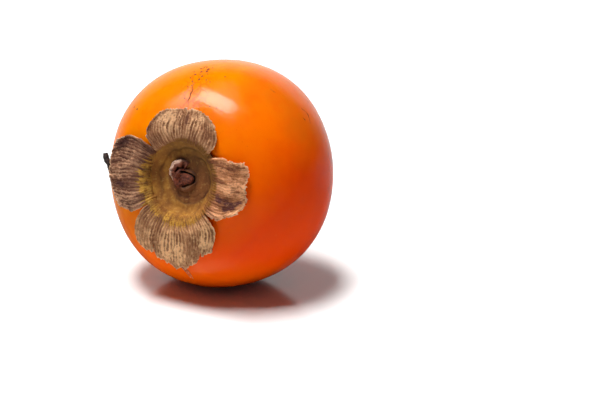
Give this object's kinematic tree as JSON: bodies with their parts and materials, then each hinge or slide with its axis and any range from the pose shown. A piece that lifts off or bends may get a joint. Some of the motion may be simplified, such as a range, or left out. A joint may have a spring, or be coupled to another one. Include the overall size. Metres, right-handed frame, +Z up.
{
  "type": "persimmon",
  "caption": "Whole ripe orange persimmon with its dried four-lobed calyx and stem stub, lying on a small flat spot.",
  "frame": {"origin": "centre of the small flat spot that the fruit rests on", "axes": "+Z up; the calyx faces -Y and looks 11.3 degrees upwards; +X to the right when looking along +Y"},
  "size_m": [0.0732, 0.0593, 0.0728],
  "materials": {
    "fruit_skin": "smooth waxy fruit skin, deep orange, semi-gloss",
    "calyx_cup": "dried leathery calyx, olive brown, matt",
    "sepal": "dry papery sepal with fine ribs, grey tan, matt",
    "stem_bark": "dry snapped woody stem, red brown",
    "style": "dry blackened remnant of the flower, matt"
  },
  "bodies": {
    "root": {"fruit_body": "fruit_skin", "calyx_cup": "calyx_cup", "sepal_right": "sepal", "sepal_top": "sepal", "sepal_left": "sepal", "sepal_bottom": "sepal", "stem_stub": "stem_bark", "style_tip": "style"}
  },
  "joints": []
}
